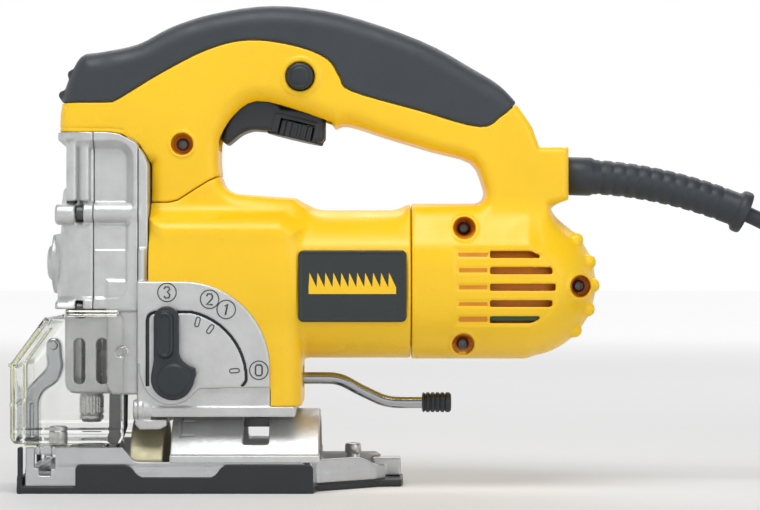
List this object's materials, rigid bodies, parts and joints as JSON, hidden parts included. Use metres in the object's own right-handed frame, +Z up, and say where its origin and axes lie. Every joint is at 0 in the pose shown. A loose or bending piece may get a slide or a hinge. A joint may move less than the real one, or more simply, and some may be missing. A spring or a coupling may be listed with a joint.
{
  "type": "jigsaw power tool",
  "caption": "Corded D-handle jigsaw with a bevelling shoe, orbital action lever, clear blade shield, trigger with speed dial and a coiled mains cord.",
  "frame": {"origin": "on the sole plane, in the centre plane, at the front of the guide roller beside the blade", "axes": "+X towards the cord at the rear, +Z up through the handle, -Y is the side with the stroke dial"},
  "size_m": [0.4634, 0.1046, 0.2079],
  "materials": {
    "yellow_plastic": "moulded satin plastic",
    "soft_grip": "soft moulded grip, matte",
    "dark_plastic": "fine textured dark plastic",
    "label": "printed plate",
    "cast_metal": "die cast, fine matte grain",
    "arch_metal": "cast, slightly olive",
    "steel": "turned steel",
    "dark_steel": "dark oxide steel",
    "bright_chrome": "polished plating",
    "copper": "enamelled copper wire",
    "bronze": "sintered bronze",
    "clear_plastic": "clear moulded polycarbonate",
    "cord_rubber": "rubber sheath",
    "carbon": "pressed carbon",
    "board": "circuit board"
  },
  "bodies": {
    "housing": {"handle_shell_left": "yellow_plastic", "handle_shell_right": "yellow_plastic", "grip_pad_left": "soft_grip", "grip_pad_right": "soft_grip", "motor_housing": "yellow_plastic", "label_plates": "label", "handle_screws": "dark_steel", "gear_case_cover": "cast_metal", "gear_case": "cast_metal", "gear_case_back": "cast_metal", "cover_screws": "dark_steel", "trigger_spring": "steel", "switch_module": "dark_plastic", "speed_module": "board", "lock_spring": "steel", "blade_lever_pin": "steel", "bevel_screw": "dark_steel", "ball_bearings": "steel", "field_stack": "dark_steel", "field_coils": "copper", "brush_bridge": "dark_plastic", "brushes": "carbon", "brush_springs": "steel", "fan_baffle": "dark_plastic", "plunger_bushings": "bronze", "counterweight_pins": "steel", "yoke_pin": "steel", "blade_shield": "clear_plastic", "cord_guard": "cord_rubber", "cord_clamp": "dark_plastic", "cord": "cord_rubber", "cord_coil": "cord_rubber", "plug": "cord_rubber"},
    "shoe_plate": {"shoe": "cast_metal", "bevel_arch": "cast_metal", "dust_chute": "arch_metal", "shoe_cover": "dark_plastic", "shoe_screws": "dark_steel"},
    "bevel_handle": {"bevel_lever": "bright_chrome", "bevel_lever_cap": "cord_rubber"},
    "orbital_dial": {"orbital_lever": "dark_plastic", "orbital_shaft": "dark_steel"},
    "trigger_key": {"trigger": "dark_plastic"},
    "dial_wheel": {"speed_dial": "dark_plastic"},
    "lock_key": {"lock_button": "dark_plastic"},
    "rotor": {"armature_shaft": "steel", "armature_stack": "dark_steel", "armature_windings": "copper", "commutator": "copper", "fan": "dark_plastic"},
    "crank": {"crank_gear": "steel"},
    "ram": {"plunger": "steel", "blade_clamp": "dark_steel"},
    "collar": {"clamp_collar": "steel"},
    "balance": {"counterweight": "dark_steel"},
    "roller_arm": {"roller_yoke": "dark_steel", "roller_pin": "steel"},
    "roller": {"guide_roller": "steel"},
    "release": {"blade_lever": "bright_chrome", "blade_lever_tip": "dark_plastic"}
  },
  "joints": [
    {"name": "shoe_bevel", "type": "hinge", "parent": "housing", "child": "shoe_plate", "pos_m": [0.06, 0, 0], "axis": [1, 0, 0], "range_deg": [-45, 45]},
    {"name": "bevel_lever_turn", "type": "hinge", "parent": "housing", "child": "bevel_handle", "pos_m": [0.069, 0, 0.0474], "axis": [0, 0, 1], "range_deg": [0, 35]},
    {"name": "orbital_lever_turn", "type": "hinge", "parent": "housing", "child": "orbital_dial", "pos_m": [0.0346, -0.034, 0.0482], "axis": [0, 1, 0], "range_deg": [0, 89]},
    {"name": "trigger_press", "type": "slide", "parent": "housing", "child": "trigger_key", "axis": [0.23, 0, 0.9732], "range_m": [0, 0.006], "stiffness_N_per_m": 500, "springref_m": -0.004, "deforming": ["trigger_spring"]},
    {"name": "speed_dial_turn", "type": "hinge", "parent": "trigger_key", "child": "dial_wheel", "pos_m": [0.0856, 0, 0.1543], "axis": [0.23, 0, 0.9732], "range_deg": [0, 270]},
    {"name": "lock_button_press", "type": "slide", "parent": "housing", "child": "lock_key", "axis": [0, 1, 0], "range_m": [0, 0.003], "stiffness_N_per_m": 400, "springref_m": -0.002, "deforming": ["lock_spring"]},
    {"name": "armature_spin", "type": "hinge", "parent": "housing", "child": "rotor", "pos_m": [0.08, 0, 0.0883], "axis": [1, 0, 0], "continuous": true},
    {"name": "crank_spin", "type": "hinge", "parent": "housing", "child": "crank", "pos_m": [0.011, 0, 0.1123], "axis": [1, 0, 0], "continuous": true},
    {"name": "plunger_stroke", "type": "slide", "parent": "housing", "child": "ram", "axis": [0, 0, 1], "range_m": [-0.004, 0.022]},
    {"name": "counterweight_stroke", "type": "slide", "parent": "housing", "child": "balance", "axis": [0, 0, 1], "range_m": [-0.0132, 0.0024]},
    {"name": "collar_turn", "type": "hinge", "parent": "ram", "child": "collar", "pos_m": [-0.0035, 0, 0.036], "axis": [0, 0, 1], "range_deg": [0, 60]},
    {"name": "roller_arm_swing", "type": "hinge", "parent": "housing", "child": "roller_arm", "pos_m": [0.0085, 0, 0.061], "axis": [0, 1, 0], "range_deg": [0, 2.4]},
    {"name": "roller_spin", "type": "hinge", "parent": "roller_arm", "child": "roller", "pos_m": [0.006, 0, 0.0185], "axis": [0, 1, 0], "continuous": true},
    {"name": "blade_release", "type": "hinge", "parent": "housing", "child": "release", "pos_m": [-0.0196, 0, 0.0618], "axis": [0, 1, 0], "range_deg": [0, 60], "stiffness_Nm_per_rad": 0.05, "springref_deg": -17.19}
  ],
  "couplings": [
    {"joint": "crank_spin", "follows": "armature_spin", "ratio": -0.15385},
    {"joint": "counterweight_stroke", "follows": "plunger_stroke", "ratio": -0.6},
    {"joint": "collar_turn", "follows": "blade_release", "ratio": 1}
  ]
}
